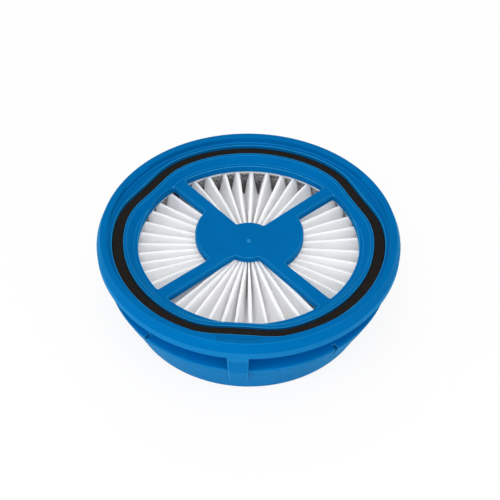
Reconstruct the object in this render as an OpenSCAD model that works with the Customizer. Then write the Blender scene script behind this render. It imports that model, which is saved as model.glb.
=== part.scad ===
// Round pleated vacuum filter in a two-piece plastic cage.
// The cage is a tapered drum. Its upper frame has a dished rim that holds a
// three-lobed foam gasket, and a recessed cross grille over the pleats. Its
// lower frame is a cone with a raised matching grille, held on by three arms.
// The base stands on z = 0, the axis is Z, and one arm points along -Y.

/* [Filter media] */
// Outer radius of the pleated disc
media_radius = 54.6; // [50:0.2:60]
// Radius of the hole left in the middle of the pleats
media_bore_radius = 8.4; // [8.2:0.1:10]
// Height of the pleats, from lower folds to upper folds
media_height = 17.5; // [14:0.5:24]
// Thickness of the folded sheet
sheet_thickness = 0.45; // [0.3:0.05:0.5]
// Number of pleats
pleat_count = 44; // [36:1:44]
// Largest bend radius of a fold, at the middle of the sheet
fold_radius = 0.4; // [0.3:0.1:1.2]
// Where the upper fold nearest the back lies, in degrees from +X
pleat_phase = 91.5; // [84:0.5:96]
// How far the pleats beside the glued seam are squeezed together, in degrees
seam_squeeze = 4.2; // [0:0.2:5]

/* [Seals] */
// Thickness of the adhesive band round the pleat ends
edge_seal_thickness = 1; // [0.6:0.1:2]
// Width of the foam gasket
gasket_width = 5.2; // [4:0.1:6]
// Height of the foam gasket
gasket_height = 3.2; // [2:0.1:3.6]
// Distance from the skirt to the middle line of the gasket, between its lobes
gasket_offset = 4.1; // [3.8:0.1:5]
// How far each lobe of the gasket dips towards the axis
lobe_depth = 2.8; // [0:0.1:3]
// Half the width of a lobe, in degrees
lobe_half_width = 14; // [8:0.5:20]

/* [Upper frame] */
// Thickness of the grille plate under the rim
plate_thickness = 3.5; // [2:0.1:5]
// Depth of the grille plate below the top of the rim
plate_depth = 7.1; // [6:0.1:10]
// Wall between the adhesive band and the outside of the skirt
skirt_wall = 2; // [1.2:0.1:2.4]
// Depth of the ledge outside the gasket below the top of the rim
land_depth = 3.5; // [2.5:0.1:4]
// Width of the ledge outside the gasket
land_width = 2; // [1:0.1:3]
// Depth of the lip inside the gasket below the top of the rim
lip_depth = 4.2; // [3.5:0.1:4.8]
// Width of the lip inside the gasket
lip_width = 1.6; // [1:0.1:2]
// Width of the slope from the lip down to the grille plate
dish_slope = 3.3; // [1:0.1:4]
// How far the top of the gasket lies below the ledge outside it
gasket_recess = 1.6; // [0.8:0.1:2]
// Floor thickness under the gasket
channel_floor = 2; // [1.2:0.1:3]
// Wall outside the gasket channel, seen under the flange
channel_wall = 2; // [1.4:0.1:3]
// Width of the flat top of the rim
rim_top_width = 3.3; // [3:0.1:5]
// How far the flange flares out below the top of the rim
rim_flare = 1.8; // [1:0.1:3]
// Height of the flared part of the flange
rim_flare_height = 4.6; // [2:0.1:5]
// Height of the flange, from its lower edge to the top of the rim
flange_height = 8.4; // [7:0.1:9]
// How far the lower edge of the flange stands out past the flare
band_draft = 0; // [0:0.1:1.2]
// Wall thickness of the rim, which is hollow from below
rim_wall = 2; // [1.6:0.1:2.4]
// Width of the sloping scoop in the rim beside each lobe
scoop_width = 2.4; // [1:0.1:2.6]
// Depth of the scoop at the inside of the rim
scoop_depth = 1.4; // [0.5:0.1:1.6]
// Half the length of the scoop, in degrees
scoop_half_length = 8; // [5:0.5:14]

/* [Grille] */
// How far the plate covers the outer ends of the pleats
window_overlap = 1.9; // [1:0.1:6]
// Radius of the hub at the front and back windows
hub_radius = 11.9; // [9:0.1:14]
// How far the upper hub lies towards the back
hub_shift = 0.6; // [0:0.1:2]
// Radius of the two wings of the hub, at the side windows
wing_radius = 26; // [20:0.1:30]
// How far the wings of the upper hub lie towards the back
wing_shift = 5.5; // [0:0.1:6]
// Depth of the shallow round recess in the upper hub
hub_recess_depth = 0.5; // [0.2:0.1:1]
// Radius of the shallow round recess in the upper hub
hub_recess_radius = 20.4; // [15:0.1:24]
// Width of the slope round the shallow recess
hub_recess_slope = 3; // [1:0.1:5]
// Radius of the small moulding mark in the middle of the upper hub
gate_radius = 0.9; // [0.5:0.1:1.5]
// Half the width that a spoke would have at the axis
spoke_half_width = 2.7; // [1.8:0.1:3.5]
// How much each side of a spoke opens out towards the rim, in degrees
spoke_taper = 0.9; // [0:0.1:2]
// Radius of the corners of the windows
window_fillet = 1.2; // [0.4:0.1:2]
// Chamfer along the top of the spokes and of the upper hub
window_chamfer = 0.6; // [0.2:0.1:1]

/* [Lower frame] */
// Height of the lower grille plate above the base
floor_lift = 13.5; // [8:0.5:14]
// Thickness of the lower grille plate
floor_thickness = 3; // [2:0.1:4]
// Wall thickness of the cone
cone_wall = 2.2; // [1.6:0.1:3]
// Lean of the cone from upright, in degrees
cone_lean = 21.4; // [16:0.2:24]
// Gap between the lower end of the skirt and the cone
skirt_gap = 5.2; // [3:0.1:6]
// Height of the shoulder above the base
shoulder_height = 23.5; // [20:0.5:27]
// Thickness of the shoulder ledge
ledge_thickness = 2; // [1.4:0.1:3]
// Height of the small step round the cone
step_height = 15; // [13:0.5:17]
// Depth of the small step round the cone
step_depth = 0.5; // [0.2:0.1:0.8]
// Width of the upright notches in the shoulder
notch_width = 1.8; // [1:0.1:3]
// Height of the upright notches in the shoulder
notch_height = 6; // [3:0.5:8]
// Angle between an arm and the notch at each side of it, in degrees
notch_angle = 40; // [25:1:55]

/* [Arms] */
// Width of an arm where it leaves the flange
arm_root_width = 9.6; // [8:0.1:14]
// Width of an arm at its tip
arm_tip_width = 8; // [6.4:0.1:12]
// Height of the tip of an arm above the base
arm_tip_height = 12; // [9:0.5:12.5]
// Thickness of an arm where it crosses the neck
arm_thickness = 2.2; // [1.6:0.1:3]
// How far an arm stands out from the cone
arm_proud = 0.9; // [0.3:0.1:1.2]
// Depth of the seat for an arm in the cone
arm_seat_depth = 0.8; // [0.5:0.1:1.2]
// Radius of the corners at the tip of an arm
arm_corner = 1.2; // [0.5:0.1:2]
// Width of the catch inside an arm
catch_width = 4.6; // [3:0.1:5.5]
// Height of the catch
catch_height = 3; // [2:0.1:4]
// How far the catch reaches into its slot
catch_depth = 1.1; // [0.6:0.1:1.4]

/* [Fit] */
// Clearance between pieces that are bonded or laid together
fit_gap = 0.2; // [0.1:0.05:0.4]
// Radius of small rounded edges
edge_radius = 0.5; // [0.3:0.1:0.7]

/* [Hidden] */
$fn = 96;

blue = [0.0, 0.42, 0.70];
white = [0.93, 0.93, 0.92];
black = [0.11, 0.11, 0.11];
amber = [0.86, 0.82, 0.70];

arm_angles = [30, 150, 270];
arm_sector = 10;
outline_steps = 144;
arc_steps = 5;
// How far a cut runs past the faces that it opens
past = 1;

// Heights, from the base up
floor_top = floor_lift + floor_thickness;
media_bottom = floor_top + fit_gap;
media_top = media_bottom + media_height;
plate_bottom = media_top + fit_gap;
plate_top = plate_bottom + plate_thickness;
rim_top = plate_top + plate_depth;
land_z = rim_top - land_depth;
lip_z = rim_top - lip_depth;
gasket_top = land_z - gasket_recess;
groove_floor = gasket_top - gasket_height;
channel_bottom = groove_floor - channel_floor;
flange_bottom = rim_top - flange_height;
skirt_bottom = floor_top + fit_gap;

// Radii of the upper frame, from the skirt out
seal_in = media_radius + fit_gap;
seal_out = seal_in + edge_seal_thickness;
skirt_in = seal_out + fit_gap;
skirt_out = skirt_in + skirt_wall;
window_radius = media_radius - window_overlap;
gasket_radius = skirt_out + gasket_offset;
groove_in = gasket_radius - gasket_width / 2 - fit_gap / 2;
groove_out = gasket_radius + gasket_width / 2 + fit_gap / 2;
lip_in = groove_in - lip_width;
rim_in = groove_out + land_width;
rim_radius = rim_in + rim_top_width;
band_radius = rim_radius + rim_flare;
flange_radius = band_radius + band_draft;
channel_out = groove_out + channel_wall;
core_in = rim_in + rim_wall;
core_top = rim_top - rim_wall;

// The cone of the lower frame
lean = tan(cone_lean);
base_radius = skirt_out + skirt_gap + cone_wall - lean * floor_top;
function cone_radius(z) = base_radius + lean * z;
shoulder_radius = cone_radius(shoulder_height);
ledge_in = skirt_out + fit_gap;

// Points of an arc, with angles in degrees
function arc(center, radius, from, to, steps = arc_steps) =
    [for (k = [0 : steps]) let (a = from + (to - from) * k / steps)
        center + radius * [cos(a), sin(a)]];

function unit(v) = v / norm(v);
function angle_of(v) = atan2(v[1], v[0]);
function wrap(a) = a - 360 * round(a / 360);

// The short arc round center from point p to point q
function short_arc(center, p, q, steps = arc_steps) =
    let (a = angle_of(p - center))
    arc(center, norm(p - center), a, a + wrap(angle_of(q - center) - a), steps);

// An outline of [x, y, radius] corners, each rounded by its own radius
function rounded(corners, steps = 3) =
    let (n = len(corners))
    [for (i = [0 : n - 1])
        let (p = [corners[i][0], corners[i][1]],
             before = corners[(i + n - 1) % n],
             after = corners[(i + 1) % n],
             u = unit([before[0], before[1]] - p),
             v = unit([after[0], after[1]] - p),
             half = acos(min(1, max(-1, u * v))) / 2,
             r = corners[i][2],
             reach = r / tan(half))
        each r <= 0 ? [p]
            : short_arc(p + unit(u + v) * r / sin(half), p + u * reach, p + v * reach, steps)];

// One window of a grille. It looks along angle, between two tapered spokes,
// its inner edge is a circle round inner_center, and all its edges move out by grow.
function window_outline(angle, inner_center, inner_edge, grow = 0) =
    let (f = window_fillet + grow,
         half_width = spoke_half_width - grow,
         inner_radius = inner_edge - grow,
         outer_radius = window_radius + grow,
         sides = [-1, 1],
         along = [for (s = sides) let (a = angle + s * (45 - spoke_taper)) [cos(a), sin(a)]],
         inward = [for (k = [0, 1]) sides[k] * [along[k][1], -along[k][0]]],
         outer = [for (k = [0, 1])
             let (d = half_width + f, r = outer_radius - f)
             along[k] * sqrt(r * r - d * d) + inward[k] * d],
         inner = [for (k = [0, 1])
             let (d = half_width + f, r = inner_radius + f,
                  off = d - inner_center * inward[k])
             along[k] * (inner_center * along[k] + sqrt(r * r - off * off)) + inward[k] * d],
         outer_touch = [for (c = outer) c + unit(c) * f],
         inner_touch = [for (c = inner) c - unit(c - inner_center) * f])
    concat(
        short_arc(inner[0], inner_touch[0], inner[0] - inward[0] * f),
        short_arc(outer[0], outer[0] - inward[0] * f, outer_touch[0]),
        short_arc([0, 0], outer_touch[0], outer_touch[1], 24),
        short_arc(outer[1], outer_touch[1], outer[1] - inward[1] * f),
        short_arc(inner[1], inner[1] - inward[1] * f, inner_touch[1]),
        short_arc(inner_center, inner_touch[1], inner_touch[0], 16));

// Direction, middle of the inner edge and its radius, for each of the four windows
function window_rows(middle_shift, side_shift) =
    [for (angle = [90, 270]) [angle, [0, middle_shift], hub_radius],
     for (angle = [0, 180]) [angle, [0, side_shift], wing_radius]];

module windows(rows) {
    for (w = rows)
        polygon(window_outline(w[0], w[1], w[2]));
}

// A solid between two outlines with the same number of points, at two heights
module loft(lower, upper, bottom, top) {
    n = len(lower);
    polyhedron(
        concat([for (p = lower) [p[0], p[1], bottom]], [for (p = upper) [p[0], p[1], top]]),
        concat([[for (k = [0 : n - 1]) k]],
            [for (k = [0 : n - 1]) [k, n + k, n + (k + 1) % n, (k + 1) % n]],
            [[for (k = [n - 1 : -1 : 0]) n + k]]),
        convexity = 6);
}

// The cut that bevels the top edges of one window, but not along its outer edge
module window_bevel(w) {
    rise = window_chamfer + past / 2;
    bottom = plate_top - window_chamfer;
    intersection() {
        loft(window_outline(w[0], w[1], w[2]), window_outline(w[0], w[1], w[2], rise),
            bottom, bottom + rise);
        translate([0, 0, bottom - past])
            cylinder(r = window_radius - fit_gap / 2, h = rise + 2 * past);
    }
}

// A closed outline that follows the gasket: a circle with a dip at each arm
function lobe(a) =
    let (d = min([for (c = arm_angles) abs(wrap(a - c))])) exp(-pow(d / lobe_half_width, 2.2));
function lobed(radius) =
    [for (k = [0 : outline_steps - 1])
        let (a = 360 * k / outline_steps) (radius - lobe_depth * lobe(a)) * [cos(a), sin(a)]];

module upper_shell() {
    rotate_extrude()
        polygon(rounded([
            [0, plate_bottom, 0],
            [skirt_in, plate_bottom, edge_radius],
            [skirt_in, skirt_bottom, 0],
            [skirt_out, skirt_bottom, edge_radius],
            [skirt_out, channel_bottom, 0],
            [channel_out, channel_bottom, edge_radius],
            [channel_out, land_z - channel_wall, 0],
            [core_in, land_z - channel_wall, 0],
            [core_in, core_top, 0],
            [rim_radius - rim_wall / 4, core_top, 0],
            [band_radius - rim_wall, rim_top - rim_flare_height, 0],
            [flange_radius - rim_wall, flange_bottom, 0],
            [flange_radius, flange_bottom, edge_radius],
            [band_radius, rim_top - rim_flare_height, edge_radius],
            [rim_radius, rim_top, edge_radius],
            [rim_in, rim_top, edge_radius],
            [rim_in, land_z, edge_radius],
            [gasket_radius, land_z, 0],
            [gasket_radius, lip_z, 0],
            [0, lip_z, 0]]));
}

// The groove for the gasket, the dish inside it, its windows and the scoops
module upper_cuts() {
    rows = window_rows(hub_shift, wing_shift);
    dish_in = lip_in - dish_slope;
    dish_rise = lip_z - plate_top;
    dish_cut = dish_rise + past;
    translate([0, 0, groove_floor])
        linear_extrude(land_z - groove_floor + past)
            difference() {
                polygon(lobed(groove_out));
                polygon(lobed(groove_in));
            }
    translate([0, 0, plate_top])
        linear_extrude(dish_cut, scale = 1 + dish_slope / dish_in * dish_cut / dish_rise)
            polygon(lobed(dish_in));
    translate([0, 0, plate_bottom - past])
        linear_extrude(plate_thickness + 2 * past)
            windows(rows);
    for (w = rows)
        window_bevel(w);
    for (a = arm_angles)
        scoop(a);
}

// A scoop that slopes from the top of the rim down to its inside
module scoop(angle) {
    low = rim_top - scoop_depth;
    rotate([0, 0, angle - scoop_half_length])
        rotate_extrude(angle = 2 * scoop_half_length)
            polygon([
                [rim_in - past, low],
                [rim_in, low],
                [rim_in + scoop_width, rim_top],
                [rim_in + scoop_width, rim_top + past],
                [rim_in - past, rim_top + past]]);
}

module hub_recess() {
    spread = hub_recess_slope * (1 + past / hub_recess_depth);
    translate([0, wing_shift, plate_top - hub_recess_depth])
        cylinder(r1 = hub_recess_radius - hub_recess_slope,
            r2 = hub_recess_radius - hub_recess_slope + spread, h = hub_recess_depth + past);
    translate([0, 0, plate_top - 2 * hub_recess_depth])
        cylinder(r = gate_radius, h = plate_thickness, $fn = 24);
}

// Upright outline of an arm, seen from outside, cut to its taper
module arm_outline(extra = 0) {
    top = flange_bottom + past;
    tip = arm_tip_height - extra;
    root = arm_root_width / 2 + extra;
    end = arm_tip_width / 2 + extra;
    rotate([90, 0, 90])
        linear_extrude(flange_radius + past)
            polygon(rounded([
                [-root, top, 0],
                [-end, tip, arm_corner + extra],
                [end, tip, arm_corner + extra],
                [root, top, 0]], 4));
}

function arm_back(z) = cone_radius(z) - arm_seat_depth + fit_gap;

module arm() {
    intersection() {
        arm_outline();
        rotate([0, 0, -arm_sector])
            rotate_extrude(angle = 2 * arm_sector)
                polygon(rounded([
                    [flange_radius, flange_bottom + past, 0],
                    [flange_radius, flange_bottom, 0],
                    [shoulder_radius + arm_proud, shoulder_height, 0],
                    [cone_radius(arm_tip_height) + arm_proud, arm_tip_height, edge_radius],
                    [arm_back(arm_tip_height), arm_tip_height, 0],
                    [arm_back(shoulder_height), shoulder_height, 0],
                    [shoulder_radius + arm_proud - arm_thickness, shoulder_height + past, 0],
                    [flange_radius - arm_thickness, flange_bottom, 0],
                    [flange_radius - arm_thickness, flange_bottom + past, 0]]));
    }
}

// Wedge inside an arm that hooks under the ledge, through a slot in the cone
catch_top = shoulder_height - ledge_thickness - fit_gap;
module arm_catch() {
    high = catch_top;
    low = catch_top - catch_height;
    translate([0, catch_width / 2, 0])
        rotate([90, 0, 0])
            linear_extrude(catch_width)
                polygon([
                    [arm_back(high) + arm_proud / 2, high],
                    [arm_back(high) - catch_depth, high],
                    [arm_back(low), low],
                    [arm_back(low) + arm_proud / 2, low]]);
}

module upper_frame() {
    color(blue) {
        difference() {
            upper_shell();
            upper_cuts();
            hub_recess();
        }
        for (a = arm_angles)
            rotate([0, 0, a]) {
                arm();
                arm_catch();
            }
    }
}

module lower_shell() {
    ledge_bottom = shoulder_height - ledge_thickness;
    rotate_extrude()
        polygon(rounded([
            [0, floor_lift, 0],
            [cone_radius(floor_lift) - cone_wall, floor_lift, edge_radius],
            [base_radius - cone_wall, 0, edge_radius],
            [base_radius - step_depth, 0, edge_radius],
            [cone_radius(step_height) - step_depth, step_height, 0],
            [cone_radius(step_height), step_height + step_depth / 2, 0],
            [shoulder_radius, shoulder_height, edge_radius],
            [ledge_in, shoulder_height, edge_radius],
            [ledge_in, ledge_bottom, 0],
            [cone_radius(ledge_bottom) - cone_wall, ledge_bottom, edge_radius],
            [cone_radius(floor_top) - cone_wall, floor_top, edge_radius],
            [0, floor_top, 0]]));
}

// Seat and slot for one arm
module arm_seat() {
    slot = catch_height + 2 * fit_gap;
    slot_half = catch_width / 2 + fit_gap;
    intersection() {
        arm_outline(fit_gap);
        rotate([0, 0, -arm_sector])
            rotate_extrude(angle = 2 * arm_sector)
                polygon([
                    [cone_radius(0) - arm_seat_depth, 0],
                    [cone_radius(rim_top) - arm_seat_depth, rim_top],
                    [cone_radius(rim_top) + past, rim_top],
                    [flange_radius + past, 0]]);
    }
    translate([cone_radius(catch_top - slot) - cone_wall - past, -slot_half,
        catch_top + fit_gap - slot])
        cube([cone_wall + slot * lean + 2 * past, 2 * slot_half, slot]);
}

module lower_frame() {
    color(blue)
        difference() {
            lower_shell();
            translate([0, 0, floor_lift - past])
                linear_extrude(floor_thickness + 2 * past)
                    windows(window_rows(0, 0));
            for (a = arm_angles)
                rotate([0, 0, a]) {
                    arm_seat();
                    for (side = [-1, 1])
                        rotate([0, 0, side * notch_angle])
                            translate([shoulder_radius - cone_wall - past, -notch_width / 2,
                                shoulder_height - notch_height])
                                cube([cone_wall + 2 * past, notch_width, notch_height + past]);
                }
        }
}

module gasket() {
    color(black)
        translate([0, 0, groove_floor])
            linear_extrude(gasket_height)
                difference() {
                    polygon(lobed(gasket_radius + gasket_width / 2));
                    polygon(lobed(gasket_radius - gasket_width / 2));
                }
}

module edge_seal() {
    color(amber)
        translate([0, 0, media_bottom])
            difference() {
                cylinder(r = seal_out, h = media_height, $fn = 128);
                translate([0, 0, -past])
                    cylinder(r = seal_in, h = media_height + 2 * past, $fn = 128);
            }
}

module center_plug() {
    color(amber)
        translate([0, 0, media_bottom])
            cylinder(r = media_bore_radius - fit_gap, h = media_height);
}

// The media is one folded sheet. At each radius its section is a row of
// circles, one at each fold, joined by the straight legs that touch them.
fold_steps = 4;
radius_stops = [0, 0.14, 0.42, 1];
pleat_pitch = 360 / pleat_count;
seam_angle = pleat_phase + pleat_pitch * floor(180 / pleat_pitch);
seam_spread = 25;

// Direction of the fold at turn u, where whole turns are upper folds
function fold_angle(u) =
    let (a = pleat_phase + pleat_pitch * u,
         d = wrap(a - seam_angle) / seam_spread)
    a - seam_squeeze * d * exp(-d * d / 2);

// Small uneven offsets of the folds, as hand-set pleats have
function fold_sway(i) = 0.35 * sin(i * 137.5) + 0.2 * sin(i * 61 + 20);
function fold_sag(i) = 0.22 * (1 + sin(i * 101 + 40));

// Points of the sheet's upper or lower face round one fold
function fold_points(r, i, side) =
    let (upper = i % 2 == 0,
         here = fold_angle(i / 2),
         gap_before = r * (here - fold_angle((i - 1) / 2)) * PI / 180,
         gap_after = r * (fold_angle((i + 1) / 2) - here) * PI / 180,
         bend = min(fold_radius, 0.46 * min(gap_before, gap_after)),
         rise = media_height - 2 * bend - sheet_thickness,
         lean_of = function (gap) atan2(gap, rise) - asin(min(1, 2 * bend / norm([gap, rise]))),
         before = lean_of(gap_before),
         after = lean_of(gap_after),
         radius = bend + (upper ? side : -side) * sheet_thickness / 2,
         level = upper ? media_top - bend - sheet_thickness / 2 - fold_sag(i)
                       : media_bottom + bend + sheet_thickness / 2,
         sway = fold_sway(i) * pow(r / media_radius, 2),
         from = 180 - before,
         to = after)
    [for (k = [0 : fold_steps])
        let (a = from + (to - from) * k / fold_steps,
             x = radius * cos(a) + sway,
             z = level + (upper ? 1 : -1) * radius * sin(a),
             turn = here + x / r * 180 / PI)
        [r * cos(turn), r * sin(turn), z]];

module filter_media() {
    fold_count = 2 * pleat_count;
    around = fold_count * (fold_steps + 1);
    stops = len(radius_stops);
    radii = [for (t = radius_stops) media_bore_radius + t * (media_radius - media_bore_radius)];
    function index(stop, face, k) = (stop * 2 + face) * around + k % around;
    points = [for (r = radii, side = [1, -1], i = [0 : fold_count - 1]) each fold_points(r, i, side)];
    function halves(a, b, c, d, flip) =
        flip ? [[a, c, b], [a, d, c]] : [[a, b, c], [a, c, d]];
    skins = [for (s = [0 : stops - 2], face = [0, 1], k = [0 : around - 1])
        each halves(index(s, face, k), index(s + 1, face, k),
            index(s + 1, face, k + 1), index(s, face, k + 1), face == 0)];
    ends = [for (s = [0, stops - 1], k = [0 : around - 1])
        each halves(index(s, 0, k), index(s, 1, k),
            index(s, 1, k + 1), index(s, 0, k + 1), s > 0)];
    color(white)
        polyhedron(points, concat(skins, ends), convexity = 20);
}

upper_frame();
lower_frame();
filter_media();
gasket();
edge_seal();
center_plug();
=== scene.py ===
"""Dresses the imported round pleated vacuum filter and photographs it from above."""

import math

import bpy
import numpy as np
from mathutils import Matrix, Vector, noise

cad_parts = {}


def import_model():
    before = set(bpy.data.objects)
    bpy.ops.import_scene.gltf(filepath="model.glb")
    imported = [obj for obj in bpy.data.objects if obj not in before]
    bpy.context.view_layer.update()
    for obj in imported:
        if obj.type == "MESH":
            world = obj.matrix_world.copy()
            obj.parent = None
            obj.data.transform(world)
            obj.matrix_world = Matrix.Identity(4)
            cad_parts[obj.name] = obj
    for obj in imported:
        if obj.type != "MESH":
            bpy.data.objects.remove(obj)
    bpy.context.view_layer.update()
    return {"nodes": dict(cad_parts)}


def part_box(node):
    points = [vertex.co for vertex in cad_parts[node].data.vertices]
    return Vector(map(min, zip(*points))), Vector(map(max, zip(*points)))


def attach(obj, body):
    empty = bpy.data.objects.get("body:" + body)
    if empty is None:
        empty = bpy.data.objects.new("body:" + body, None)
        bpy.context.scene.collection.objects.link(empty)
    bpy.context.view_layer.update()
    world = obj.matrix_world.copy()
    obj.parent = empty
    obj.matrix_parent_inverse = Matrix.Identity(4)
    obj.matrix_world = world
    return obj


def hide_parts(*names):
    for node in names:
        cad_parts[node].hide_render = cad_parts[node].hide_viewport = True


# Lengths are in millimetres and angles in degrees, unless a comment says otherwise
MM = 0.001

# Directions of the folded sheet's crests from +X, as seen through the four windows and
# spaced between their neighbours under the spokes, counted on through one whole turn
CRESTS = (
    92.0, 100.0, 107.2, 115.6, 124.1, 132.4, 140.8, 149.5, 157.2, 166.2, 174.9,
    182.0, 189.1, 196.8, 203.9, 211.8, 218.4, 225.3, 232.2, 238.1, 244.6, 252.6,
    260.1, 267.2, 274.6, 283.4, 292.9, 301.5, 309.6, 318.4, 327.5, 335.7, 343.8,
    351.1, 360.8, 370.1, 378.5, 386.1, 395.8, 402.2, 411.0, 420.0, 428.0, 436.0,
    444.0,
)
# The crest where the sheet's ends meet, and the angle from it to the valley on either side
SEAM = 24
SEAM_HALF_ANGLE = 2.5

# The sheet's thickness, its gap to the plug in its bore, and the usual radius of its bends
SHEET_THICKNESS = 0.45
BORE_CLEARANCE = 0.2
FOLD_RADIUS = 0.6
# How much folds differ in radius, and how much of the gap between two folds a bend may fill
FOLD_SPREAD = 0.2
WIDEST_BEND = 0.46
# How far a fold sways sideways at the outer end, from fold to fold and along the fold
SWAY = 0.35
SWAY_FINE = 0.2
SWAY_WAVE = 0.16
# How far a crest sags, the share of it that is left at the bore, and the share that a valley rises
SAG = 0.22
SAG_WAVE = 0.08
SAG_AT_BORE = 0.5
VALLEY_SHARE = 0.3
# How far a leg bows, which is less where the gap between its folds is narrow
BOW = 0.30
BOW_WAVE = 0.22
BOW_PER_GAP = 0.3
# Faces round a bend and along a leg, rings from the bore out, and how they crowd at the bore
FOLD_STEPS = 6
LEG_STEPS = 5
RADIAL_STEPS = 20
RING_CROWDING = 1.25
SHEET_SMOOTH_ANGLE = 60

# The foam gasket, with a lobe towards the axis at each arm
GASKET_WIDTH = 5.2
GASKET_CORNER = 0.7
LOBE_DEPTH = 2.8
LOBE_HALF_WIDTH = 14.0
LOBE_POWER = 2.2
ARM_ANGLES = (30.0, 150.0, 270.0)
# Its uneven skin: bumps per millimetre, depth at the sides and on top, height of the even foot
SKIN_PITCH = 0.8
SKIN_DEPTH = 0.05
SKIN_DEPTH_TOP = 0.07
SKIN_FOOT = 1
GASKET_STEPS = 720
CORNER_STEPS = 4
GASKET_SMOOTH_ANGLE = 70

# The photograph's camera, fitted to the rim, the windows and the base;
# the picture's width and the focal length are in pixels
PHOTO_SIZE = 500
FOCAL_PIXELS = 1186.83
SENSOR_WIDTH = 36.0
CAMERA_DISTANCE = 560.0
CAMERA_ELEVATION = 44.725
CAMERA_TURN = 3.390
CAMERA_PITCH = -0.9909
CAMERA_YAW = 0.0692
CAMERA_ROLL = 0.6137
NEAREST_SEEN = 10

# The world's strength for the object, the bounces that reach down between the pleats,
# and how much of the floor's colour is its own glow for the camera
AMBIENT = 0.56
DIFFUSE_BOUNCES = 16
OTHER_BOUNCES = 4
FLOOR_GLOW = 0.88
FLOOR_COLOR = (0.9, 0.9, 0.9)
# Half the floor's side in metres
FLOOR_REACH = 6.0
# Name, azimuth, elevation, distance and size in metres, and power in watts of each lamp
LAMPS = (
    ("softbox_top", -88, 66, 1.1, 0.8, 5.7),
    ("softbox_front", -92, 5, 1.3, 0.4, 3.8),
    ("softbox_left", -150, 16, 1.1, 0.5, 3.4),
    ("softbox_right", -35, 22, 1.1, 0.7, 1.4),
    ("back_fill", 95, 45, 1.2, 0.8, 1.4),
)

# Linear colours
WHITE = (1.0, 1.0, 1.0)
BLUE = (0.0, 0.121, 0.355)
# Blues of the painted highlights and painted light, the second for the recess under the flange
PAINTED_LIGHT_BLUE = (0.04, 0.36, 0.70)
NECK_PAINTED_LIGHT_BLUE = (0.0, 0.40, 1.0)
BLUE_GLOSS = (0.10, 0.60, 1.0)
BLUE_SHEEN = (0.0, 0.62, 1.0)
PAPER = (0.98, 0.98, 0.98)
PAPER_SHADE = (0.90, 0.90, 0.905)
FOAM = (0.0045, 0.004, 0.0036)
FOAM_PALE = (0.050, 0.041, 0.034)
GLUE = (0.62, 0.62, 0.62)
# The dark of the adhesive's specks and of its painted shade
GLUE_DARK_AND_SHADE = (0.06, 0.06, 0.06)

# Brightness of the plastic's darkest and lightest flow marks
FLOW_MARKS = (0.95, 1.05)
# Moulded edges are rounded, and get a painted highlight where they lean from the flat face beside
# them, in full where the cosine of that lean is down to EDGE_LEAN
EDGE_RADIUS = 0.55
EDGE_SAMPLES = 8
EDGE_LEAN = 0.88
EDGE_HIGHLIGHT = 0.9
# Inside this radius and above this height the rim's edges get only a faint painted highlight
RIM_MIDDLE = 69.5
RIM_SHOULDER = 43.0
RIM_EDGE_HIGHLIGHT = 0.1
# The moulding gate's mark in the middle of each hub, which gets a painted highlight
GATE_RADIUS = 0.5
# The flange's outer face, which gets a little painted light
FLANGE_RADIUS = 71.2
FLANGE_TOP = 40.4
FLANGE_PAINTED_LIGHT = 0.15
# The recess between the flange and the shoulder ledge, which gets painted light too, where the flange
# casts shade
NECK_RADII = (57.5, 67.6)
NECK_HEIGHTS = (23.3, 36.5)
NECK_PAINTED_LIGHT = 0.3

# Height of the painted highlight line along the adhesive's top, and half the width of its soft edge
SEAL_HIGHLIGHT_LINE = 31.2
SEAL_HIGHLIGHT_BLUR = 0.2
# Below the line the adhesive darkens into painted shade between these two depths, its pale specks
# fading to the share that is left
SHADE_START_DEPTH = 1
SHADE_FULL_DEPTH = 8
LIGHT_LEFT_IN_SHADE = 0.15


def rgba(color):
    return (*color, 1.0)


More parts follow.
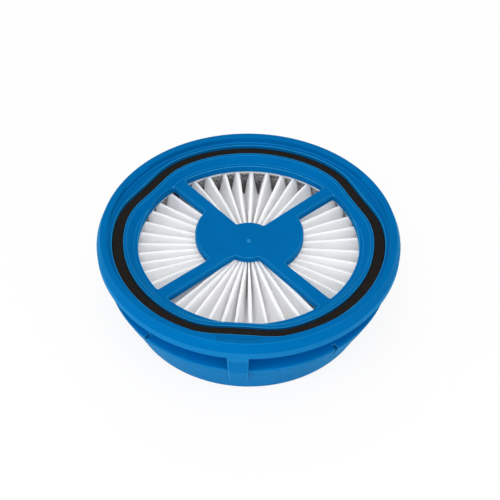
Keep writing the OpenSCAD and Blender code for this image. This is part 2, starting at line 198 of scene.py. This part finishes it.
class Shader:
    """A material under construction: adds nodes and links them in one call each."""

    def __init__(self, name):
        self.material = bpy.data.materials.new(name)
        self.material.use_nodes = True
        self.tree = self.material.node_tree
        self.tree.nodes.clear()
        self.output = self.tree.nodes.new("ShaderNodeOutputMaterial")

    def node(self, kind, settings=None, **inputs):
        made = self.tree.nodes.new(kind)
        for key, value in (settings or {}).items():
            setattr(made, key, value)
        for key, value in inputs.items():
            self.plug(made.inputs[key.replace("_", " ")], value)
        return made

    def plug(self, socket, value):
        if isinstance(value, bpy.types.NodeSocket):
            self.tree.links.new(value, socket)
        else:
            socket.default_value = value

    def math(self, operation, a, b=0.0):
        made = self.node("ShaderNodeMath", {"operation": operation})
        self.plug(made.inputs[0], a)
        self.plug(made.inputs[1], b)
        return made.outputs[0]

    def vector_math(self, operation, a, b=None):
        made = self.node("ShaderNodeVectorMath", {"operation": operation})
        self.plug(made.inputs[0], a)
        if b is not None:
            self.plug(made.inputs[1], b)
        return made.outputs["Value"]

    def above(self, value, limit):
        return self.math("GREATER_THAN", value, limit)

    def below(self, value, limit):
        return self.math("LESS_THAN", value, limit)

    def times(self, a, b):
        """The product, which for two conditions is 1 only where both hold."""
        return self.math("MULTIPLY", a, b)

    def between(self, value, limits):
        return self.times(self.above(value, limits[0]), self.below(value, limits[1]))

    def mix(self, factor, a, b):
        made = self.node("ShaderNodeMix", {"data_type": "RGBA"})
        self.plug(made.inputs[0], factor)
        self.plug(made.inputs[6], a)
        self.plug(made.inputs[7], b)
        return made.outputs[2]

    def ramp(self, value, limits, results=(0.0, 1.0)):
        """The value's way between two limits, as a way between two results."""
        made = self.node("ShaderNodeMapRange", Value=value)
        for key, amount in zip(("From Min", "From Max", "To Min", "To Max"), (*limits, *results)):
            made.inputs[key].default_value = amount
        return made.outputs[0]

    def place(self, stretch=(1.0, 1.0, 1.0)):
        """Object coordinates in millimetres, stretched along each axis."""
        coordinates = self.node("ShaderNodeTexCoord").outputs["Object"]
        scale = tuple(s / MM for s in stretch)
        return self.node("ShaderNodeMapping", Vector=coordinates, Scale=scale).outputs[0]

    def noise(self, size, detail=2.0, roughness=0.5, stretch=(1.0, 1.0, 1.0)):
        """Noise whose features are about size millimetres wide."""
        return self.node("ShaderNodeTexNoise", Vector=self.place(stretch), Scale=1.0 / size,
                         Detail=detail, Roughness=roughness).outputs[0]

    def bump(self, height, distance, strength=1.0, normal=None):
        made = self.node("ShaderNodeBump", Height=height, Distance=distance * MM,
                         Strength=strength)
        if normal is not None:
            self.plug(made.inputs["Normal"], normal)
        return made.outputs[0]

    def surface(self, **inputs):
        shader = self.node("ShaderNodeBsdfPrincipled", **inputs)
        self.tree.links.new(shader.outputs[0], self.output.inputs[0])
        return self.material


def flow_marked_blue(s):
    """The plastic's colour, with the faint marks of its flow into the mould."""
    flow = s.noise(size=18.0, detail=3.0, roughness=0.55, stretch=(1.0, 1.0, 2.5))
    darkest, lightest = (rgba(tuple(c * level for c in BLUE)) for level in FLOW_MARKS)
    return s.mix(s.ramp(flow, (0.30, 0.70)), darkest, lightest)


def painted_edge_highlights(s, rounded, radius, height):
    """Painted highlights on the moulded edges, where the rounded surface leans from the flat one."""
    flat = s.node("ShaderNodeNewGeometry").outputs["Normal"]
    edge = s.ramp(s.vector_math("DOT_PRODUCT", rounded, flat), (1.0, EDGE_LEAN))
    inside_rim = s.times(s.below(radius, RIM_MIDDLE), s.above(height, RIM_SHOULDER))
    return s.times(edge, s.ramp(inside_rim, (0.0, 1.0), (EDGE_HIGHLIGHT, RIM_EDGE_HIGHLIGHT)))


def moulded_plastic(name):
    """Satin moulded plastic: soft edges with painted highlights, a fine grain, slight flow marks, and
    painted light on the flange's outer face and the recess under it.
    """
    s = Shader(name)
    rounded = s.node("ShaderNodeBevel", {"samples": EDGE_SAMPLES},
                     Radius=EDGE_RADIUS * MM).outputs[0]
    place = s.node("ShaderNodeSeparateXYZ", Vector=s.place()).outputs
    height = place["Z"]
    flat_place = s.node("ShaderNodeCombineXYZ", X=place["X"], Y=place["Y"]).outputs[0]
    radius = s.vector_math("LENGTH", flat_place)

    # Painted light in the recess under the flange, where shade falls
    neck_light = s.times(s.between(radius, NECK_RADII), s.between(height, NECK_HEIGHTS))
    color = s.mix(s.times(neck_light, NECK_PAINTED_LIGHT), flow_marked_blue(s), rgba(NECK_PAINTED_LIGHT_BLUE))
    # Painted highlights on the edges and on the gate's mark
    gate_highlight = s.below(radius, GATE_RADIUS)
    marks = s.math("MAXIMUM", painted_edge_highlights(s, rounded, radius, height), gate_highlight)
    # Painted light on the flange's outer face
    flange = s.times(s.above(radius, FLANGE_RADIUS), s.below(height, FLANGE_TOP))
    color = s.mix(s.math("MAXIMUM", marks, s.times(flange, FLANGE_PAINTED_LIGHT)), color,
                  rgba(PAINTED_LIGHT_BLUE))

    grain = s.bump(s.noise(size=0.35), distance=0.012, strength=0.6, normal=rounded)
    waves = s.bump(s.noise(size=6.0, detail=1.0), distance=0.05, strength=0.35, normal=grain)
    clouds = s.noise(size=3.0, detail=3.0, roughness=0.6)
    return s.surface(Base_Color=color, Roughness=s.ramp(clouds, (0.3, 0.7), (0.42, 0.52)),
                     Normal=waves, Specular_IOR_Level=0.012, Specular_Tint=rgba(BLUE_GLOSS),
                     Sheen_Weight=0.3, Sheen_Roughness=0.4, Sheen_Tint=rgba(BLUE_SHEEN))


def fibrous_paper(name):
    """Matte white sheet of pressed fibres."""
    s = Shader(name)
    fibres = s.noise(size=0.5, detail=4.0, roughness=0.7, stretch=(1.0, 1.0, 2.0))
    clouds = s.noise(size=5.0, detail=3.0, roughness=0.6)
    tone = s.times(s.ramp(fibres, (0.30, 0.70)), s.ramp(clouds, (0.25, 0.75), (0.6, 1.0)))
    color = s.mix(tone, rgba(PAPER_SHADE), rgba(PAPER))
    dents = s.noise(size=1.6, detail=3.0, roughness=0.6)
    coarse = s.bump(dents, distance=0.10, strength=0.6)
    fine = s.bump(fibres, distance=0.10, strength=0.9, normal=coarse)
    return s.surface(Base_Color=color, Roughness=0.92, Normal=fine, Specular_IOR_Level=0.15,
                     Subsurface_Weight=1.0, Subsurface_Radius=(1.0, 1.0, 1.0),
                     Subsurface_Scale=0.3 * MM)


def open_foam(name):
    """Black foam rubber with small open pores."""
    s = Shader(name)
    cell_size = 0.42
    cells = s.node("ShaderNodeTexVoronoi", Vector=s.place(), Scale=1.0 / cell_size)
    pores = s.ramp(cells.outputs["Distance"], (0.10, 0.62))
    crumbs = s.noise(size=0.30, detail=3.0, roughness=0.7)
    # The pores' hollows are darker, as painted shade; the crumbs vary the tone at random
    tone = s.times(s.ramp(crumbs, (0.42, 0.72)), pores)
    color = s.mix(tone, rgba(FOAM), rgba(FOAM_PALE))
    deep = s.bump(pores, distance=0.12, strength=0.8)
    normal = s.bump(crumbs, distance=0.08, strength=0.7, normal=deep)
    return s.surface(Base_Color=color, Roughness=0.95, Normal=normal, Specular_IOR_Level=0.08)


def hardened_glue(name):
    """Cloudy, speckled adhesive, poured and set, darkened lower down by painted shade, with a painted
    highlight along its upper edge.
    """
    s = Shader(name)
    clouds = s.noise(size=4.0, detail=3.0, roughness=0.6)
    crumbs = s.noise(size=1.1, detail=3.0, roughness=0.7)
    specks = s.times(s.ramp(crumbs, (0.40, 0.62)), s.ramp(clouds, (0.3, 0.7), (0.6, 1.0)))
    height = s.node("ShaderNodeSeparateXYZ", Vector=s.place()).outputs["Z"]
    # The adhesive darkens lower down, as painted shade
    depth_shade = s.ramp(height, (SEAL_HIGHLIGHT_LINE - SHADE_FULL_DEPTH, SEAL_HIGHLIGHT_LINE - SHADE_START_DEPTH),
                  (LIGHT_LEFT_IN_SHADE, 1.0))
    color = s.mix(s.times(specks, depth_shade), rgba(GLUE_DARK_AND_SHADE), rgba(GLUE))
    # A painted highlight along the adhesive's top edge
    edge = s.ramp(height, (SEAL_HIGHLIGHT_LINE - SEAL_HIGHLIGHT_BLUR, SEAL_HIGHLIGHT_LINE + SEAL_HIGHLIGHT_BLUR))
    color = s.mix(edge, color, rgba(PAPER))
    normal = s.bump(s.noise(size=2.2), distance=0.20, strength=0.6)
    return s.surface(Base_Color=color, Roughness=0.45, Normal=normal, Specular_IOR_Level=0.35,
                     Subsurface_Weight=0.2, Subsurface_Scale=1.0 * MM)


def assign(piece, material):
    piece.data.materials.clear()
    piece.data.materials.append(material)


def mesh_piece(name, points, faces, material, smooth_angle):
    """A smooth-shaded mesh from points in millimetres."""
    mesh = bpy.data.meshes.new(name)
    mesh.from_pydata([tuple(p) for p in np.asarray(points) * MM], [], faces)
    mesh.update()
    piece = bpy.data.objects.new(name, mesh)
    bpy.context.scene.collection.objects.link(piece)
    assign(piece, material)
    mesh.shade_smooth()
    mesh.set_sharp_from_angle(angle=math.radians(smooth_angle))
    return piece


def from_zero(angle):
    """How far an angle is from zero, up to half a turn."""
    return abs(angle - 360.0 * np.round(angle / 360.0))


def uneven(k, step, start=0.0):
    """A repeatable value between -1 and 1 that jumps from fold to fold."""
    return np.sin(np.radians(k * step + start))


def ripple(share, k, turns, shift):
    """A wave along fold k, between -1 and 1, shifted from fold to fold."""
    return math.sin(2 * math.pi * (turns * share + shift * k))


def fold_angle(i):
    """Direction of fold i, where even folds are crests and odd ones valleys."""
    turn, crest = divmod(i // 2, len(CRESTS))
    here = CRESTS[crest] + 360.0 * turn
    if i % 2 == 0:
        return here
    if crest == SEAM:
        return here + SEAM_HALF_ANGLE
    following = fold_angle(i + 1)
    if crest == SEAM - 1:
        return following - SEAM_HALF_ANGLE
    return (here + following) / 2


def fold_centres(radius, share, bottom, top):
    """Unrolled distance, height and bend radius of each fold, the first one once more at the end.
    share runs from 0 at the bore to 1 at the outer end."""
    folds = 2 * len(CRESTS)
    width, level, bends = [], [], []
    for i in range(folds + 1):
        k = i % folds
        here, before, after = (fold_angle(v) for v in (i, i - 1, i + 1))
        gap = math.radians(min(here - before, after - here)) * radius
        bend = min(FOLD_RADIUS * (1 + FOLD_SPREAD * uneven(k, step=77)), WIDEST_BEND * gap)
        sway = SWAY * uneven(k, step=137.5) + SWAY_FINE * uneven(k, step=61, start=20)
        sway *= share ** 2
        sway += SWAY_WAVE * share * ripple(share, k, turns=1.3, shift=0.37)
        sag = SAG * (1 + uneven(k, step=101, start=40))
        sag *= SAG_AT_BORE + (1 - SAG_AT_BORE) * share
        sag += SAG_WAVE * (1 + ripple(share, k, turns=0.9, shift=0.61))
        edge = bend + SHEET_THICKNESS / 2
        width.append(math.radians(here) * radius + sway)
        level.append(top - edge - sag if i % 2 == 0 else bottom + edge + VALLEY_SHARE * sag)
        bends.append(bend)
    return width, level, bends


def leg_lean(gap, rise, bend_sum):
    """How far from upright a straight leg leans that touches the bends at both its ends."""
    return math.atan2(gap, rise) - math.asin(min(1.0, bend_sum / math.hypot(gap, rise)))


def sheet_section(radius, share, bottom, top):
    """The sheet's middle line at one radius, as unrolled distance and height."""
    width, level, bends = fold_centres(radius, share, bottom, top)
    line = []
    for i in range(len(width) - 1):
        sign = 1 if i % 2 == 0 else -1
        gap = width[i + 1] - width[i]
        rise = abs(level[i] - level[i + 1])
        gap_before = width[i] - width[i - 1] if i else gap
        rise_before = abs(level[i] - level[i - 1]) if i else rise
        lean = leg_lean(gap, rise, bends[i] + bends[i + 1])
        lean_before = leg_lean(gap_before, rise_before, bends[i] + bends[i - 1])
        for step in range(FOLD_STEPS + 1):
            turn = math.pi - lean_before + (lean + lean_before - math.pi) * step / FOLD_STEPS
            line.append((width[i] + bends[i] * math.cos(turn),
                         level[i] + sign * bends[i] * math.sin(turn)))
        start = line[-1]
        end_turn = math.pi - lean
        end = (width[i + 1] + bends[i + 1] * math.cos(end_turn),
               level[i + 1] - sign * bends[i + 1] * math.sin(end_turn))
        bow = BOW * uneven(i, step=53, start=70)
        bow += BOW_WAVE * ripple(share, i, turns=1.0, shift=0.23)
        bow *= share * min(1.0, BOW_PER_GAP * gap)
        for step in range(1, LEG_STEPS):
            t = step / LEG_STEPS
            line.append((start[0] + (end[0] - start[0]) * t + bow * math.sin(math.pi * t),
                         start[1] + (end[1] - start[1]) * t))
    return np.array(line)


def sheet_ring(radius, share, bottom, top):
    """The sheet's two sides at one radius, the upper one first, as points in space."""
    line = sheet_section(radius, share, bottom, top)
    around = 2 * math.pi * radius
    ahead = np.roll(line, -1, axis=0)
    ahead[-1, 0] += around
    behind = np.roll(line, 1, axis=0)
    behind[0, 0] -= around
    along = ahead - behind
    along /= np.linalg.norm(along, axis=1, keepdims=True)
    normal = np.stack([-along[:, 1], along[:, 0]], axis=1)
    sides = []
    for side in (0.5, -0.5):
        shifted = line + normal * SHEET_THICKNESS * side
        turn = shifted[:, 0] / radius
        sides.append(np.stack([radius * np.cos(turn), radius * np.sin(turn), shifted[:, 1]], 1))
    return sides


def sheet_faces(count):
    """Faces between rings of count points a side, closed at the bore and the outer end."""
    faces = []
    for stop in range(RADIAL_STEPS - 1):
        for side in (0, 1):
            inner, outer = (2 * stop + side) * count, (2 * stop + 2 + side) * count
            for k in range(count):
                n = (k + 1) % count
                quad = (inner + k, outer + k, outer + n, inner + n)
                faces.append(quad if side == 0 else quad[::-1])
    for stop in (0, RADIAL_STEPS - 1):
        upper = 2 * stop * count
        lower = upper + count
        for k in range(count):
            n = (k + 1) % count
            quad = (upper + k, upper + n, lower + n, lower + k)
            faces.append(quad if stop == 0 else quad[::-1])
    return faces


def pleated_sheet(material):
    """The folded filter sheet, with crisp folds, bowed legs and uneven spacing."""
    low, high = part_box("filter_media")
    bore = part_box("center_plug")[1].x / MM + BORE_CLEARANCE
    outer = (high.x - low.x) / 2 / MM
    rows = []
    for stop in range(RADIAL_STEPS):
        share = (stop / (RADIAL_STEPS - 1)) ** RING_CROWDING
        rows += sheet_ring(bore + (outer - bore) * share, share, low.z / MM, high.z / MM)
    return mesh_piece("pleated_sheet", np.concatenate(rows), sheet_faces(len(rows[0])), material,
                      SHEET_SMOOTH_ANGLE)


def rounded_section(width, height, corner):
    """A strip's section: a rectangle with rounded corners, centred in width, standing on 0."""
    points = []
    for quarter, (sx, sy) in enumerate(((1, 1), (-1, 1), (-1, -1), (1, -1))):
        cx = sx * (width / 2 - corner)
        cy = height / 2 + sy * (height / 2 - corner)
        for step in range(CORNER_STEPS + 1):
            turn = math.radians(90 * quarter + 90 * step / CORNER_STEPS)
            points.append((cx + corner * math.cos(turn), cy + corner * math.sin(turn)))
    return points


def foam_gasket(material):
    """The gasket strip, which dips towards the axis at each arm."""
    low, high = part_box("gasket")
    middle = high.y / MM - GASKET_WIDTH / 2
    section = rounded_section(GASKET_WIDTH, (high.z - low.z) / MM, GASKET_CORNER)
    points = []
    for k in range(GASKET_STEPS):
        angle = 360.0 * k / GASKET_STEPS
        off = min(from_zero(angle - arm) for arm in ARM_ANGLES)
        radius = middle - LOBE_DEPTH * math.exp(-((off / LOBE_HALF_WIDTH) ** LOBE_POWER))
        x, y = math.cos(math.radians(angle)), math.sin(math.radians(angle))
        for u, v in section:
            place = Vector(((radius + u) * x, (radius + u) * y, low.z / MM + v))
            rough = abs(noise.noise(place * SKIN_PITCH))
            reach = radius + u - SKIN_DEPTH * rough
            points.append((reach * x, reach * y,
                           place.z - SKIN_DEPTH_TOP * rough * (v > SKIN_FOOT)))
    count = len(section)
    faces = []
    for k in range(GASKET_STEPS):
        n = (k + 1) % GASKET_STEPS
        for j in range(count):
            m = (j + 1) % count
            faces.append((k * count + j, n * count + j, n * count + m, k * count + m))
    return mesh_piece("foam_gasket", points, faces, material, GASKET_SMOOTH_ANGLE)


def turned(a, b, angle):
    """Two axes, both turned in their own plane, a towards b."""
    return (math.cos(angle) * a + math.sin(angle) * b,
            math.cos(angle) * b - math.sin(angle) * a)


def place_camera(target):
    """Stands the camera where the photograph was taken, looking at the middle of the rim."""
    elevation, pitch, yaw, roll = (math.radians(v) for v in (
        CAMERA_ELEVATION, CAMERA_PITCH, CAMERA_YAW, CAMERA_ROLL))
    offset = Vector((0, -math.cos(elevation), math.sin(elevation))) * CAMERA_DISTANCE * MM
    forward = -offset.normalized()
    right = Vector((1, 0, 0))
    up = right.cross(forward)
    forward, up = turned(forward, up, pitch)
    forward, right = turned(forward, right, yaw)
    right, up = turned(right, up, roll)
    axes = Matrix((right, up, -forward)).transposed()
    turn = Matrix.Rotation(math.radians(CAMERA_TURN), 3, "Z")
    data = bpy.data.cameras.new("camera")
    data.sensor_fit = "HORIZONTAL"
    data.sensor_width = SENSOR_WIDTH
    data.lens = FOCAL_PIXELS / PHOTO_SIZE * SENSOR_WIDTH
    data.clip_start = NEAREST_SEEN * MM
    camera = bpy.data.objects.new("camera", data)
    bpy.context.scene.collection.objects.link(camera)
    camera.matrix_world = Matrix.Translation(target + turn @ offset) @ (turn @ axes).to_4x4()
    bpy.context.scene.camera = camera


def area_light(name, azimuth, elevation, distance, size, power):
    """A round lamp that faces the middle of the base."""
    data = bpy.data.lights.new(name, "AREA")
    data.shape = "DISK"
    data.size = size
    data.energy = power
    light = bpy.data.objects.new(name, data)
    bpy.context.scene.collection.objects.link(light)
    a, e = math.radians(azimuth), math.radians(elevation)
    towards = Vector((math.cos(e) * math.cos(a), math.cos(e) * math.sin(a), math.sin(e)))
    light.location = towards * distance
    light.rotation_euler = towards.to_track_quat("Z", "Y").to_euler()


def seen_directly(tree):
    """1 for camera, glossy and transmission rays, which see a white background."""
    path = tree.nodes.new("ShaderNodeLightPath")
    total = path.outputs["Is Camera Ray"]
    for other in ("Is Glossy Ray", "Is Transmission Ray"):
        either = tree.nodes.new("ShaderNodeMath")
        either.operation = "MAXIMUM"
        tree.links.new(total, either.inputs[0])
        tree.links.new(path.outputs[other], either.inputs[1])
        total = either.outputs[0]
    return total


def white_world():
    """A world that looks white and lights the object at the ambient strength."""
    world = bpy.data.worlds.new("studio")
    world.use_nodes = True
    tree = world.node_tree
    background = tree.nodes["Background"]
    background.inputs["Color"].default_value = rgba(WHITE)
    level = tree.nodes.new("ShaderNodeMapRange")
    tree.links.new(seen_directly(tree), level.inputs["Value"])
    level.inputs["To Min"].default_value = AMBIENT
    level.inputs["To Max"].default_value = 1.0
    tree.links.new(level.outputs[0], background.inputs["Strength"])
    bpy.context.scene.world = world


def pale_floor():
    """A wide white floor that glows for the camera but keeps a soft shadow."""
    s = Shader("floor_white")
    lit = s.node("ShaderNodeBsdfDiffuse", Color=rgba(FLOOR_COLOR))
    glow = s.node("ShaderNodeEmission", Color=rgba(WHITE), Strength=1.0)
    mixed = s.node("ShaderNodeMixShader")
    s.plug(mixed.inputs[0], s.times(seen_directly(s.tree), FLOOR_GLOW))
    s.plug(mixed.inputs[1], lit.outputs[0])
    s.plug(mixed.inputs[2], glow.outputs[0])
    s.tree.links.new(mixed.outputs[0], s.output.inputs[0])
    mesh = bpy.data.meshes.new("floor")
    corners = [(FLOOR_REACH * x, FLOOR_REACH * y, 0) for x, y in ((-1, -1), (1, -1), (1, 1), (-1, 1))]
    mesh.from_pydata(corners, [], [(0, 1, 2, 3)])
    floor = bpy.data.objects.new("floor", mesh)
    bpy.context.scene.collection.objects.link(floor)
    assign(floor, s.material)


def main():
    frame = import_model()
    nodes = frame["nodes"]
    scene = bpy.context.scene
    scene.view_settings.view_transform = "Standard"
    scene.cycles.diffuse_bounces = DIFFUSE_BOUNCES
    scene.cycles.max_bounces = DIFFUSE_BOUNCES + OTHER_BOUNCES

    place_camera(Vector((0, 0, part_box("upper_frame")[1].z)))
    white_world()
    pale_floor()
    for lamp in LAMPS:
        area_light(*lamp)

    plastic = moulded_plastic("blue_moulded_plastic")
    glue = hardened_glue("set_adhesive")
    for name, material in (("upper_frame", plastic), ("lower_frame", plastic),
                           ("edge_seal", glue), ("center_plug", glue)):
        assign(nodes[name], material)

    sheet = pleated_sheet(fibrous_paper("filter_paper"))
    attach(sheet, "root")
    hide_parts("filter_media")

    gasket = foam_gasket(open_foam("foam_rubber"))
    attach(gasket, "root")
    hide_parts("gasket")


main()
